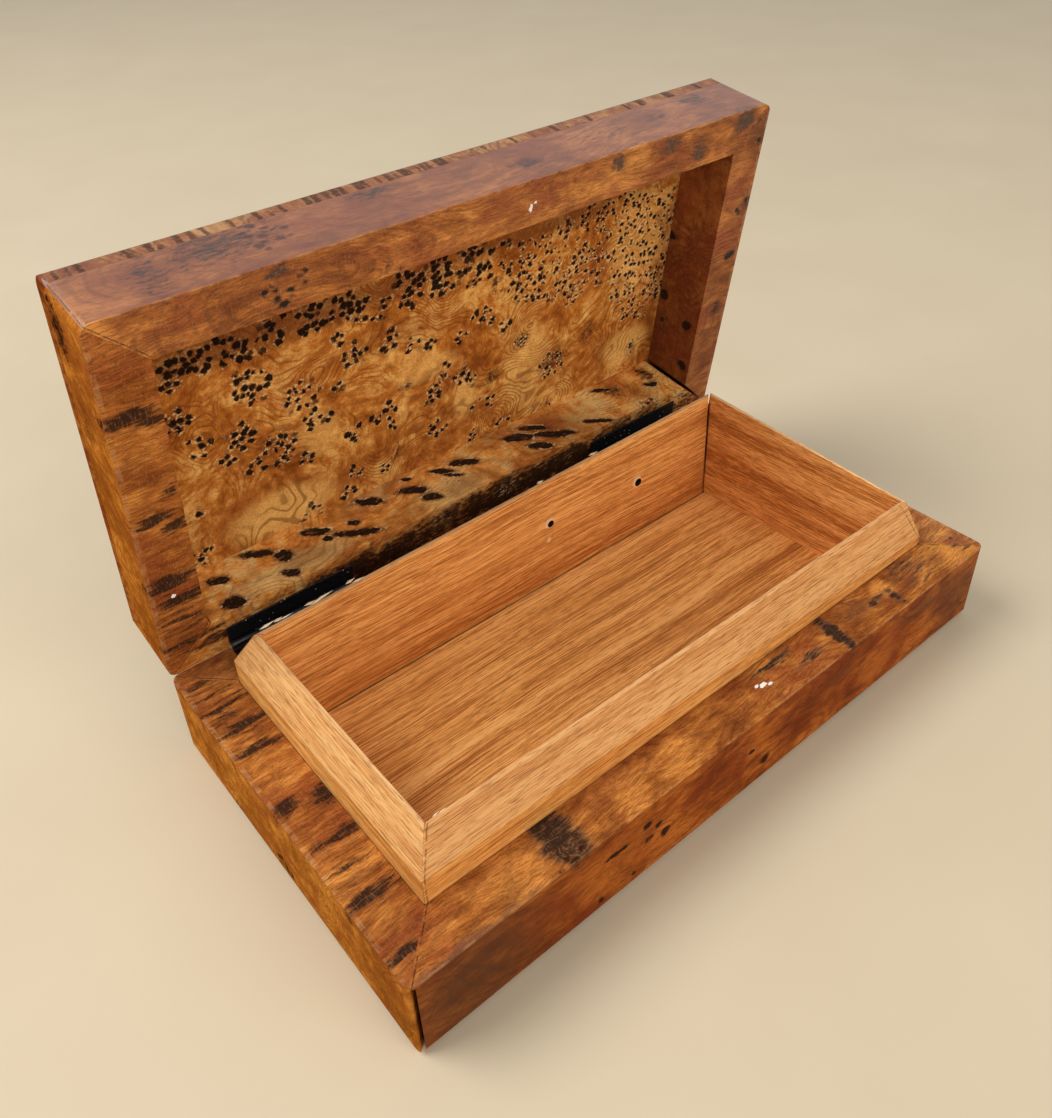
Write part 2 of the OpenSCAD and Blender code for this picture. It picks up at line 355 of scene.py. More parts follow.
def burl_eyes(shader, place, true_place, look):
    """Masks of the eyes: black cores, their brown edges, pale flecks between them that are painted
    glints, a smoky halo.
    """
    pitch, cluster_pitch = look["pitch"], look["cluster"]
    crowd = look["crowd"](shader, true_place)
    spread = shader.vector("MULTIPLY", shader.turned(place, look["tilt"]), look["pins"])
    dot_distance, dot_chance, dot_middle = shader.cells(spread, pitch, look["cells"])
    cluster_distance, cluster_chance, _ = shader.cells(dot_middle, cluster_pitch, look["cells"])
    here = shader.step(cluster_chance[1], crowd + 0.01, crowd - 0.01)
    reach = cluster_chance[0] * (0.3 * cluster_pitch) + 0.2 * cluster_pitch
    inside = shader.step(cluster_distance, reach + 0.3, reach - 0.3) * here
    dot_place = shader.turned(shader.vector("DIVIDE", dot_middle, look["pins"]), -look["tilt"])
    placed = patch_mask(shader, dot_place, look["clusters"], outer=1.05, inner=0.95)
    clumps = shader.step(shader.noise(dot_place, 5, detail=1), 0.40, 0.44)
    crowded = patch_mask(shader, dot_place, look["bands"], outer=1.05, inner=0.95) * clumps
    placed = shader.math("MAXIMUM", placed, crowded)
    inside = shader.math("MAXIMUM", inside, placed) * shader.step(dot_chance[1], 0.12, 0.16)
    swollen = patch_mask(shader, dot_place, look["swollen"], outer=1.3, inner=0.6)
    radius = (dot_chance[0] * 0.28 + swollen * 0.2 + look["eye_size"]) * pitch
    core = shader.step(dot_distance, radius + 0.1, radius - 0.3) * inside
    edge = shader.step(dot_distance, radius + 0.45, radius - 0.05) * inside
    around = shader.step(dot_distance, radius + 1.0, radius + 0.35) * inside
    fleck = around * shader.step(shader.noise(place, 0.8, detail=1), 0.5, 0.6)
    halo_distance, halo_chance, _ = shader.cells(spread, cluster_pitch, look["cells"])
    halo_here = shader.step(halo_chance[1], crowd + 0.01, crowd - 0.01)
    halo_reach = halo_chance[0] * (0.3 * cluster_pitch) + 0.3 * cluster_pitch
    halo = shader.step(halo_distance, halo_reach, halo_reach * 0.3) * halo_here
    return core, edge, fleck, halo


def long_knots(shader, place, look):
    """Black cores and brown edges of long knots that lie at the look's tilt."""
    turn = Matrix.Rotation(math.radians(look["tilt"]), 3, "Y")
    knots = [(turn @ Vector(middle), half_size, 1.0) for middle, half_size in look["knots"]]
    tilted = shader.turned(place, look["tilt"])
    core = patch_mask(shader, tilted, knots, outer=1.08, inner=0.92)
    return core, patch_mask(shader, tilted, knots, outer=1.6, inner=1.0)


def beyond_sides(shader, place):
    """How far outside the box's four sides a place is, negative inside."""
    x, y, _ = shader.split(shader.vector("ABSOLUTE", place))
    return shader.math("MAXIMUM", x - HALF_LENGTH, y - HALF_WIDTH)


def outer_face(shader, true_place, piece_rim):
    """1 on the varnished outside faces, 0 on the rim and inside."""
    _, _, z = shader.split(true_place)
    side = shader.step(beyond_sides(shader, true_place), -1.5, -1)
    flat = shader.math("MAXIMUM", shader.step(z, LID_TOP - 1.5, LID_TOP - 1), shader.step(z, 1.5, 1))
    off_rim = shader.step(shader.math("ABSOLUTE", z - piece_rim), 0.35, 0.6)
    return shader.math("MAXIMUM", side, flat) * off_rim


def edge_wear(shader, true_place, piece_rim):
    """Pale line along the outer edge of a rim, broken here and there: rubbed wear together with a painted
    highlight of the edge.
    """
    _, _, z = shader.split(true_place)
    near_rim = shader.step(shader.math("ABSOLUTE", z - piece_rim), 0.6, 0.2)
    broken = shader.step(shader.noise(true_place, 2.5, detail=3), 0.42, 0.6)
    return shader.step(beyond_sides(shader, true_place), -0.5, -0.2) * near_rim * broken


def mitre_seam(shader, true_place):
    """Thin dark line, broken here and there, where two mitred pieces meet."""
    x, y, _ = shader.split(shader.vector("ABSOLUTE", shader.warped(true_place, 4, 0.12)))
    off_line = shader.math("ABSOLUTE", x - y - MITRE_OFFSET)
    broken = shader.step(shader.noise(true_place, 1.8, detail=2), 0.36, 0.52)
    return shader.step(off_line, 0.32, 0.12) * broken


def burl_ground(shader, true_place, place, flowed, fine, look):
    """Colour of the plain burl, with the masks of its contour lines and of its fibres."""
    tone = shader.noise(flowed, 20, detail=3, roughness=0.6)
    silk = shader.noise(shader.vector("MULTIPLY", flowed, look["silk"]), 3.2, detail=4, roughness=0.65)
    shade = shader.step(tone * 0.5 + silk * 0.5, 0.32, 0.68)
    colour = shader.ramp(shade, [(0.0, look["deep"]), (0.5, look["middle"]), (1.0, look["bright"])])
    ruddy_place = shader.vector("MULTIPLY", flowed, (0.6, 1, 1))
    ruddy = shader.step(shader.noise(ruddy_place, 13, detail=3, roughness=0.6), 0.46, 0.64)
    colour = shader.mix(ruddy * look["ruddy"], colour, RUDDY)
    glow = patch_mask(shader, shader.warped(true_place, 6, 2.5), look["glow"])
    colour = shader.mix(glow, colour, look["bright"])

    lines = contour_lines(shader, flowed, look) * shader.step(shader.noise(place, 16), 0.36, 0.6)
    colour = shader.mix(lines * look["ring_depth"], colour, look["line"])
    fibre = shader.noise(shader.vector("MULTIPLY", fine, look["fibre"]), 0.38, detail=4, roughness=0.7)
    fibre_mask = shader.step(fibre, 0.42, 0.66)
    colour = shader.mix(fibre_mask * look["fibre_depth"], colour, look["line"])
    return colour, lines, fibre, fibre_mask


def left_and_front(shader, true_place, outside):
    """Masks of the left outside face and of the front one, which have looks of their own."""
    x, y, _ = shader.split(true_place)
    left_side = shader.step(x, 1 - HALF_LENGTH, 0.5 - HALF_LENGTH) * outside
    front_side = shader.step(y, 1 - HALF_WIDTH, 0.5 - HALF_WIDTH) * outside
    return left_side, front_side


def veil_and_grit(shader, colour, fine, outside, left_side, front_side, look):
    """Painted sheen on the varnish, a milky sky reflection on the front sides and a golden reflection on
    the left ones, and dark grit in the open pores.
    """
    veiled = shader.math("MAXIMUM", front_side, left_side * 0.3) * look["veil_depth"]
    colour = shader.mix(veiled, colour, look["veil"])
    grit = shader.noise(shader.vector("MULTIPLY", fine, look["grit"]), 0.4, detail=3, roughness=0.8)
    return shader.mix(shader.step(grit, 0.5, 0.72) * (0.55 - 0.4 * outside), colour, look["line"])


def burl_figure(shader, colour, true_place, fine, outside, front_side, look):
    """Adds the dark patches, the stains with some painted shadow among them, knots and eyes; also gives
    the masks of cores and flecks.
    """
    near = shader.warped(shader.warped(true_place, 9, 1.0), 1.2, 0.45)
    core, edge, fleck, halo = burl_eyes(shader, near, true_place, look)
    loose = shader.warped(shader.warped(true_place, 7, 1.6), 1.4, 0.4)
    patches = patch_mask(shader, loose, look["patches"], outer=1.7, inner=0.1)
    torn_place = shader.vector("MULTIPLY", fine, look["streak"])
    torn = shader.noise(torn_place, 1.0, detail=4, roughness=0.7) - 0.5
    brown = shader.step(patches + torn * 1.2, 0.12, 0.7) * shader.step(patches, 0.0, 0.25)
    black = shader.step(patches + torn * 2.4, 0.38, 0.82) * shader.step(patches, 0.08, 0.35)
    # Brown stain masks; on the panel the two along the front band are painted shadow.
    stain = patch_mask(shader, loose, look["stains"], outer=1.6, inner=0.1)
    colour = shader.mix(shader.math("MAXIMUM", brown * 0.62, stain), colour, look["stain"])
    colour = shader.mix(shader.math("MAXIMUM", halo * look["halo"], black * 0.9), colour, look["smoke"])
    knot, knot_edge = long_knots(shader, shader.warped(shader.warped(near, 2.5, 0.8), 0.9, 0.35), look)
    core = shader.math("MAXIMUM", core * (1.0 - 0.7 * front_side), knot * shader.step(torn, -0.14, -0.06))
    colour = shader.mix(shader.math("MAXIMUM", edge, knot_edge) * 0.75, colour, EYE_EDGE)
    # The pale flecks round the eyes and along the knots' edges are painted glints, kept mostly off the
    # varnished faces.
    fleck = fleck * (1.0 - stain) * (1.0 - 0.85 * outside)
    fleck = shader.math("MAXIMUM", fleck, (knot_edge - knot) * shader.step(torn, 0.02, 0.10))
    colour = shader.mix(fleck * look["fleck"], colour, look["pale"])
    return shader.mix(core * look["eye"], colour, EYE_BLACK), core, fleck


def side_tint(shader, colour, outside, left_side, front_side, look):
    """The colour under the varnish of each outside face. On the lid's front and the panel's front face
    the mauve tint is a painted sky reflection; the golden left tints are partly a painted reflection of a
    lit table.
    """
    tint = shader.mix(front_side, look["tint"], look["front_tint"])
    tint = shader.mix(left_side, tint, look["left_tint"])
    return shader.mix(outside, colour, shader.mix(1.0, colour, tint, blend="MULTIPLY"))


def wear_and_dust(shader, colour, true_place, place, core, bare, piece_rim, look):
    """Pale outer edges, wear with a painted highlight, dark mitre lines, and dust in the scratches of the
    bare faces.
    """
    # The rims' outer edges lightened: partly wear, partly a painted highlight.
    worn = edge_wear(shader, true_place, piece_rim) * 0.25
    colour = shader.mix(worn, colour, look["dust"])
    colour = shader.mix(mitre_seam(shader, true_place) * look["seam"], colour, EYE_BLACK)
    scratches = shader.noise(shader.vector("MULTIPLY", place, (3, 0.35, 1)), 0.6, detail=3)
    dust = bare * (1.0 - core) * shader.step(scratches, 0.52, 0.75)
    return shader.mix(dust * 0.2, colour, look["dust"])


def burl_material(name, look, on_lid):
    """Burl of one piece: varnished outside, bare on its rim and inside."""
    shader = Shader(name)
    true_place = shader.shut_place(on_lid)
    place = shader.vector("ADD", true_place, look["seed"])
    flowed = shader.warped(shader.warped(place, 38, look["flow"]), 8, 0.18 * look["flow"])
    fine = shader.warped(flowed, 1.6, 0.3)
    piece_rim = LID_RIM if on_lid else BASE_RIM
    outside = outer_face(shader, true_place, piece_rim)
    bare = 1.0 - outside
    left_side, front_side = left_and_front(shader, true_place, outside)

    colour, lines, fibre, fibre_mask = burl_ground(shader, true_place, place, flowed, fine, look)
    colour = veil_and_grit(shader, colour, fine, outside, left_side, front_side, look)
    colour, core, fleck = burl_figure(shader, colour, true_place, fine, outside, front_side, look)
    colour = side_tint(shader, colour, outside, left_side, front_side, look)
    colour = wear_and_dust(shader, colour, true_place, place, core, bare, piece_rim, look)

    roughness = bare * 0.26 + fibre * 0.12 + 0.3
    relief = fleck * 0.4 - core * 0.6 - fibre_mask * (bare * 0.21 + 0.09) - lines * bare * 0.15
    coat = front_side * look["coat"] + bare * look["rim_sheen"]
    coat = shader.math("MAXIMUM", coat, (outside - left_side - front_side) * 0.25)
    principled = shader.finish(colour, roughness, relief, relief=0.14, coat=coat, coat_roughness=0.14)
    principled.inputs["Specular IOR Level"].default_value = look["specular"]
    return shader.material


def even_crowd(share):
    """The same share of clusters all over."""
    return lambda shader, place: Value(shader, share)


def wall_look(**changes):
    look = {
        "seed": (0, 0, 0),
        "flow": 4.5,
        "deep": (0.20, 0.050, 0.010),
        "middle": (0.45, 0.145, 0.026),
        "bright": (0.80, 0.32, 0.066),
        "line": (0.08, 0.020, 0.006),
        "smoke": SMOKE,
        # Colour of the painted glints round the eyes.
        "pale": (0.80, 0.42, 0.16),
        "dust": (0.60, 0.33, 0.15),
        "tint": (0.74, 0.62, 0.50),
        "front_tint": (0.75, 0.75, 0.8),
        "left_tint": (0.85, 0.74, 0.50),
        "stain": (0.15, 0.040, 0.012),
        "seam": 0.7,
        "ruddy": 0.6,
        # Colour and strength of the painted sheen, a reflection painted onto the front and left outside
        # faces.
        "veil": (0.30, 0.14, 0.08),
        "veil_depth": 0.0,
        "grit": (0.25, 1, 1),
        "rim_sheen": 0.0,
        "tilt": 0,
        "cells": "3D",
        "silk": (0.3, 1, 1),
        "ring_stretch": (0.35, 1, 1),
        "ring_cells": 22,
        "ring_drift": 8,
        "ring_pitch": 1.0,
        "ring_depth": 0.36,
        "fibre": (0.06, 1, 1),
        "fibre_depth": 0.55,
        "streak": (0.12, 1, 1),
        "pitch": 2.1,
        "cluster": 12,
        "crowd": even_crowd(0.12),
        "clusters": [],
        "bands": [],
        "swollen": [],
        "knots": [],
        "pins": (0.7, 1, 1),
        "eye_size": 0.18,
        "halo": 0.4,
        "fleck": 0.12,
        "eye": 0.95,
        "coat": 0.15,
        "specular": 0.25,
        "patches": [],
        "stains": [],
        "glow": [],
    }
    look.update(changes)
    return look


BASE_FRONT_PATCHES = [
    ((-56, -47, 26), (5, 8, 6), 0.95),
    ((-58, -43, 26), (3, 3, 3), 0.95),
    ((19, -44, 26), (8, 1.2, 3), 0.8),
    ((28, -49, 26), (6, 1.2, 3), 0.7),
    ((39, -47, 26), (2.2, 8, 4), 0.95),
    ((50, -45, 26), (8, 5, 4), 0.38),
    ((58, -47, 26), (5, 1.4, 5), 0.85),
    ((63, -49.5, 26), (1.5, 3.2, 5), 0.8),
    ((77, -46, 26), (11, 8, 6), 0.44),
    ((96, -46, 26), (4, 6, 6), 0.6),
    ((97, -54, 12), (5, 3, 12), 0.4),
]
BASE_FRONT_STAINS = [
    ((-86, -54, 12), (21, 1.6, 24), 0.72),
    ((74, -54, 20), (14, 1.6, 4), 0.6),
    ((90, -54, 14), (14, 1.6, 12), 0.6),
    ((35, -54, 19), (5, 1.6, 3), 0.4),
]
BASE_FRONT_KNOTS = [  # x, z, half width, half height
    (-45, 17.6, 3.2, 0.6), (-35.6, 19.4, 1.3, 0.9), (-34.6, 13.8, 1.2, 0.7),
    (-29.7, 11.4, 1.2, 1.3), (-32, 16.2, 0.9, 0.6), (0.7, 15.4, 1.0, 0.6), (6, 8.5, 1.4, 1.1),
    (-50, 5, 0.9, 0.8), (-39.4, 5, 0.6, 0.6),
]
BASE_FRONT_GLOW = [
    ((-68, -48, 26), (7, 8, 5), 0.55),
    ((63, -45, 26), (4, 4, 4), 0.8),
    ((90, -48, 26), (4, 5, 4), 0.75),
    ((-47, -54, 15), (12, 2, 9), 0.5),
    ((52, -54, 12), (9, 2, 8), 0.45),
]
BASE_LEFT_PATCHES = [
    ((-94, -47, 26), (7, 1.2, 4), 0.95),
    ((-94, -32, 26), (8, 2.2, 6), 0.9),
    ((-93, -23, 26), (8, 1.0, 5), 0.6),
    ((-92, -15, 26), (9, 2.2, 5), 0.85),
    ((-97, -1, 26), (4, 2.4, 5), 0.95),
    ((-88, -3, 26), (4, 3.4, 5), 0.95),
    ((-94, 19, 26), (8, 1.6, 5), 0.85),
    ((-93, 27, 26), (9, 2.2, 5), 0.9),
    ((-93, 36, 26), (9, 1.4, 5), 0.8),
    ((-94, 47, 26), (8, 1.6, 5), 0.7),
    ((-94, 36, 26), (12, 22, 2), 0.42),
    ((-94, -20, 26), (12, 30, 2), 0.26),
]
LID_FRONT_PATCHES = [
    ((-64, -54, 40), (17, 2, 8), 0.58),
    ((-82, -54, 36), (5, 2, 14), 0.5),
    ((-24, -54, 42), (8, 2, 3), 0.6),
    ((17, -54, 34), (5, 2, 4), 0.62),
    ((64, -54, 38), (8, 2, 3), 0.5),
    ((82, -54, 41), (6, 2, 4), 0.62),
    ((45, -54, 38), (12, 2, 6), 0.3),
    ((-58, -52, 27), (4, 1.5, 3), 0.8),
    ((41, -51, 27), (3, 3, 3), 0.8),
    ((60, -51, 27), (5, 3, 3), 0.7),
    ((72, -46, 27), (4, 5, 3), 0.65),
    ((90, -51, 27), (5, 4, 3), 0.85),
]
LID_LEFT_PATCHES = [
    ((-100, -45, 41), (2, 8, 3.5), 0.75),
    ((-100, -22, 39), (2, 10, 3), 0.4),
    ((-95, -29.5, 27), (8, 2.4, 5), 1.0),
    ((-90, -27, 27), (5, 1.8, 5), 0.95),
    ((-95, 0, 27), (6, 1.6, 5), 0.9),
    ((-90, 4, 27), (4, 2.0, 5), 0.9),
    ((-90, -6, 27), (3, 2.4, 5), 0.7),
    ((-95, 21, 27), (9, 2.6, 5), 0.9),
    ((-92, 28, 27), (8, 2.6, 5), 0.9),
    ((-94, 35, 27), (9, 1.2, 5), 0.75),
    ((-94, 44, 27), (9, 2.0, 5), 0.75),
    ((-94, 36, 27), (12, 20, 2), 0.42),
    ((-94, -5, 27), (12, 26, 2), 0.22),
]
LID_RIGHT_PATCHES = [
    ((92, -53, 27), (6, 4, 3), 0.8),
    ((96, -6, 27), (3, 2.4, 3), 0.6),
    ((95, 13, 27), (4, 3.4, 3), 0.7),
]
LID_RIGHT_KNOTS = [
    ((88, -7, 44), (2, 1.5, 1.6)), ((88, 14, 43), (2, 2.0, 1.5)), ((88, 20, 31), (2, 1.5, 2.0)),
    ((88, 35, 30), (2, 1.3, 1.8)), ((96, -6, 27), (2.2, 1.4, 2)),
]
# The first five darken the lid's back rim, which lies in shade between the lid and the lining when open:
# partly painted shadow, partly dark figure. The last two lie on the inner face.
LID_BACK_PATCHES = [
    ((30, 50, 26.5), (78, 8.5, 1.2), 1.0),
    ((20, 46, 26.5), (66, 4.0, 1.2), 0.9),
    ((-40, 50, 26.5), (38, 7, 1.2), 1.0),
    ((-86, 48, 26.5), (12, 2.0, 1.4), 0.8),
    ((-88, 44, 26.5), (9, 1.4, 1.4), 0.7),
    ((65, LID_BACK_FACE, 38), (3.5, 2, 5), 0.6),
    ((80, LID_BACK_FACE, 38), (3, 2, 6), 0.7),
]
LID_BACK_KNOTS = [  # x, z, half width, half height
    (-78.6, 38.7, 3.0, 1.6), (-79, 29.5, 3.0, 2.0), (-66, 41.3, 5.0, 1.2), (-60.3, 36.8, 2.4, 1.9),
    (-62, 30.5, 2.5, 1.3), (-48.6, 39.3, 4.0, 1.5), (-47, 35, 1.6, 1.0), (-37.9, 36.4, 1.8, 1.1),
    (-39.5, 32.4, 6.5, 1.5), (-30, 40.8, 4.2, 1.5), (-15.7, 42.4, 1.6, 0.8), (-17, 37.4, 4.2, 1.5),
    (-13.9, 32.2, 2.9, 1.7), (-5, 39.3, 3.8, 1.2), (-3, 36, 3.0, 0.8), (3, 38.7, 4.6, 1.4),
    (23.7, 38, 5.0, 1.8), (30.5, 39.3, 4.6, 1.3), (34.3, 33, 6.5, 1.6), (27, 31, 4.0, 1.5),
    (50, 30, 5.0, 1.0), (62, 41, 3.0, 0.8), (78, 34, 2.6, 1.2),
]
LID_BACK_STAINS = [
    ((36, LID_BACK_FACE, 34), (17, 2, 9), 0.62),
    ((-55, LID_BACK_FACE, 33), (9, 2, 4), 0.55),
    ((-24, LID_BACK_FACE, 30), (8, 2, 4), 0.4),
    ((-4, LID_BACK_FACE, 31), (9, 2, 4), 0.5),
    ((14, LID_BACK_FACE, 43), (9, 2, 4), 0.35),
    ((72, LID_BACK_FACE, 33), (6, 2, 6), 0.45),
]
LID_BACK_GLOW = [
    ((-60, LID_BACK_FACE, 31), (20, 2, 5), 0.6),
    ((-8, LID_BACK_FACE, 31), (14, 2, 8), 0.5),
    ((56, LID_BACK_FACE, 40), (5, 2, 8), 0.6),
]
PANEL_CLUSTERS = [
    (-78, -22, 4), (-61, -12, 4), (-80, -8, 4), (-75, 1, 3), (-58, -10, 4), (-46, -2, 4.5), (-64, 3, 4),
    (-43, 7, 3), (-54, 12, 5), (-61, 14, 2.5), (-68, 8, 2), (-46, 19, 2), (-78, 22, 2), (-79, 37, 3),
    (-34, -14, 2), (-30, -8, 3.6), (-19, -9, 3), (-12, -4, 2.6), (-6, -2, 2.4), (5, -1, 3), (12, -6, 3),
    (16, -3, 2.2), (21, 1.5, 2), (-31, 18, 2.6), (-25, 16, 2.4), (-19, 20, 2.2), (-19, 14, 2),
    (-4, 16, 3.2), (-1, 9, 2.4), (6, 14, 2.6), (10, 17, 1.6), (-3, 29, 3), (11, 26, 2), (17, 28, 2.6),
    (28, 10, 2.6), (42, 24, 4), (41, 29, 2.2), (-34, 38, 2.4), (-32, 32, 2.4), (-22, 36, 2), (-46, 40, 3),
    (11, 39, 2.6), (22, 39, 2.4), (47, 1, 3.6), (36, 1, 1.8), (66, 0, 3.4), (72, 2, 3),
]
PANEL_BANDS = [
    ((0, -53.5, 45), (100, 2.5, THROUGH), 1.0),
    ((-10, -41, 45), (88, 11, THROUGH), 1.0),
    ((10, 50, 45), (86, 5, THROUGH), 1.0),
    ((-56, -24, 45), (36, 4.6, THROUGH), 1.0),
    ((-4, -22, 45), (34, 6.5, THROUGH), 1.0),
    ((56, -14, 45), (40, 15, THROUGH), 1.0),
    ((78, 6, 45), (12, 16, THROUGH), 1.0),
]
PANEL_SWOLLEN = [
    ((-40, 0, 45), (70, 60, THROUGH), 0.6),
    ((-58, -24, 45), (40, 9, THROUGH), 1.1),
    ((-4, -24, 45), (30, 8, THROUGH), 0.9),
]
# The first two, along the band near the lid's front wall, are painted shadow; the third darkens the panel
# along its right edge.
PANEL_STAINS = [
    ((-50, -25, 44), (60, 5.5, 3.5), 0.8),
    ((30, -27, 44), (60, 4.5, 3.5), 0.7),
    ((86, 0, 44), (4, 40, 3.5), 0.4),
    ((-20, -10, 44), (16, 5, 3.5), 0.3),
]
PANEL_SMOKE = [
    ((17, 19, 45), (3.4, 3.6, 20), 0.6),
    ((-17, 32, 45), (3.6, 4.0, 20), 0.45),
    ((56, 17, 45), (4.2, 4.2, 20), 0.5),
    ((28, 10, 45), (3.0, 3.0, 20), 0.7),
    ((42, 23, 45), (5.0, 4.5, 20), 0.6),
    ((46, -1, 45), (4.5, 4.0, 20), 0.4),
    ((62, 25, 45), (6.0, 4.0, 20), 0.35),
]
PANEL_GLOW = [
    ((-55, 34, 45), (18, 9, 20), 0.7),
    ((-42, 12, 45), (7, 9, 20), 0.5),
    ((7, 22, 45), (5, 9, 20), 0.7),
    ((-6, 6, 45), (12, 4, 20), 0.4),
    ((30, 20, 45), (9, 20, 20), 0.4),
    ((74, -10, 45), (16, 14, 20), 0.45),
    ((74, 30, 45), (12, 8, 20), 0.6),
]

# The left faces have no specular or coat; their golden tint and sheen are partly a painted reflection of
# a lit table.
LEFT_SIDE = {"specular": 0.0, "coat": 0.0, "rim_sheen": 0.1}
LOOKS = {
    "base_front_wall": wall_look(
        seed=(40, 0, 7), patches=BASE_FRONT_PATCHES, glow=BASE_FRONT_GLOW,
        stains=BASE_FRONT_STAINS, stain=(0.13, 0.075, 0.045), eye=0.8,
        knots=face_knots(-HALF_WIDTH, BASE_FRONT_KNOTS),
        front_tint=(0.66, 0.46, 0.30), specular=0.02, coat=0.0,
        clusters=[((-33, -46, 26), (2.6, 1.2, 3), 1.0), ((-58, -51, 26), (6, 3.5, 3), 1.0)],
    ),
    "base_left_wall": wall_look(
        seed=(0, 90, 3), patches=BASE_LEFT_PATCHES, left_tint=(0.98, 0.95, 0.75),
        veil=(0.50, 0.22, 0.03), veil_depth=0.5, **LEFT_SIDE,
    ),
    "base_right_wall": wall_look(seed=(0, 30, 80)),
    "base_back_wall": wall_look(seed=(150, 0, 0)),
    # Its mauve front tint and milky sheen are a painted sky reflection on the varnish.
    "lid_front_wall": wall_look(
        seed=(0, 0, 60), patches=LID_FRONT_PATCHES, smoke=(0.06, 0.040, 0.030), streak=(0.3, 1, 1),
        coat=1.0, front_tint=(0.78, 0.71, 0.76), veil=(0.34, 0.145, 0.075), veil_depth=0.36,
        clusters=[((-56, -48, 27), (6, 6, 3), 1.0), ((-53, -54, 38), (6, 2, 7), 1.0),
                  ((-30, -43, 27), (3, 2, 3), 1.0)],
    ),
    "lid_left_wall": wall_look(
        seed=(70, 20, 0), patches=LID_LEFT_PATCHES, left_tint=(0.92, 0.84, 0.60),
        veil=(0.50, 0.22, 0.03), veil_depth=0.5, **LEFT_SIDE,
    ),
    "lid_right_wall": wall_look(
        seed=(20, 70, 40), patches=LID_RIGHT_PATCHES, knots=LID_RIGHT_KNOTS, tint=(0.95, 0.80, 0.65),
        deep=(0.15, 0.036, 0.007), middle=(0.31, 0.092, 0.018), bright=(0.56, 0.20, 0.042),
    ),
    "lid_back_wall": wall_look(
        seed=(0, 200, 0), patches=LID_BACK_PATCHES, glow=LID_BACK_GLOW, stains=LID_BACK_STAINS,
        knots=face_knots(LID_BACK_FACE, LID_BACK_KNOTS), tilt=-28, crowd=even_crowd(0.1),
        silk=(0.7, 1, 0.6), ring_stretch=(0.7, 1, 1), ring_depth=0.35, fibre_depth=0.35,
        deep=(0.46, 0.120, 0.018), middle=(0.92, 0.38, 0.070), bright=(1.0, 0.70, 0.26),
        smoke=(0.012, 0.007, 0.005), dust=(0.45, 0.24, 0.10), pale=(1.0, 0.72, 0.36), fleck=0.8,
        streak=(0.4, 1, 1), tint=(0.42, 0.27, 0.19), ruddy=0.5, specular=0.1, halo=0.1,
    ),
}
# The panel's bluish front tint and milky sheen are a painted sky reflection on its front face.
PANEL_LOOK = wall_look(
    seed=(300, 0, 0),
    flow=9,
    deep=(0.24, 0.055, 0.006),
    middle=(0.58, 0.20, 0.030),
    bright=(1.0, 0.56, 0.15),
    line=(0.16, 0.042, 0.008),
    tint=(0.70, 0.56, 0.42),
    front_tint=(0.68, 0.66, 0.84),
    left_tint=(0.50, 0.36, 0.28),
    veil=(0.36, 0.18, 0.10),
    veil_depth=0.42,
    seam=0.0,
    ruddy=0.2,
    streak=(1, 1, 0.3),
    grit=(1, 1, 0.4),
    specular=0.0,
    coat=0.6,
    pale=(0.95, 0.66, 0.30),
    silk=(1, 1, 1),
    ring_stretch=(1, 1, 0.3),
    ring_cells=22,
    ring_drift=12,
    ring_pitch=0.85,
    ring_depth=0.6,
    fibre=(1, 1, 0.2),
    fibre_depth=0.35,
    pitch=2.1,
    cluster=8,
    cells="2D",
    crowd=even_crowd(0.05),
    clusters=flat_clusters(PANEL_CLUSTERS),
    bands=PANEL_BANDS,
    swollen=PANEL_SWOLLEN,
    stains=PANEL_STAINS,
    pins=(1, 1, 1),
    eye_size=0.13,
    halo=0.3,
    fleck=0.6,
    eye=0.97,
    patches=PANEL_SMOKE,
    glow=PANEL_GLOW,
)


# --- Cedar, plain wood and black lacquer --------------------------------------------

CEDAR_PALE = (0.88, 0.62, 0.34)
CEDAR_PORE = (0.26, 0.08, 0.02)
CEDAR_INNER = [(0.0, (0.36, 0.100, 0.018)), (0.5, (0.74, 0.29, 0.058)), (1.0, (0.98, 0.50, 0.15))]
CEDAR_CUT = [(0.0, (0.50, 0.185, 0.052)), (0.5, (0.72, 0.33, 0.105)), (1.0, (0.85, 0.47, 0.19))]
HOLES = [(12.5, 28, 1.1), (49, 25.5, 1.3)]  # x, z and radius
BACK_STRIP_FACE = 35  # y of the back strip's inner face
HOLE_CHIP = (11.6, BACK_STRIP_FACE, 22.4)
PLAIN_WOOD = [(0.3, (0.16, 0.07, 0.03)), (0.7, (0.34, 0.18, 0.09))]
LACQUER_BLACK = (0.008, 0.008, 0.009)
LACQUER_DUST = (0.62, 0.58, 0.52)


def worm_holes(shader, place, colour):
    """Painted black shade inside the back strip's two holes, their pale broken rims and one small chip.
    """
    rough_edge = shader.warped(place, 0.9, 0.35)
    face = BACK_STRIP_FACE
    insides = [((x, face, z), (radius, THROUGH, radius), 1.0) for x, z, radius in HOLES]
    rims = [((x - 0.5, face, z + 0.5), (radius + 0.7, 0.5, radius + 0.7), 1.0) for x, z, radius in HOLES]
    rims.append((HOLE_CHIP, (0.9, 0.5, 1.1), 0.9))
    colour = shader.mix(patch_mask(shader, rough_edge, rims, 1.1, 0.8) * 0.75, colour, CEDAR_PALE)
    # The holes' insides are painted black: painted shade in the recess.
    return shader.mix(patch_mask(shader, place, insides, 1.1, 1.03), colour, EYE_BLACK)


def open_seam(shader, place, colour):
    """Dark line where the floor board has shrunk away from the back strip."""
    _, y, _ = shader.split(shader.warped(place, 9, 0.2))
    return shader.mix(shader.step(y, BACK_STRIP_FACE - 0.8, BACK_STRIP_FACE - 0.3) * 0.8, colour, SMOKE)


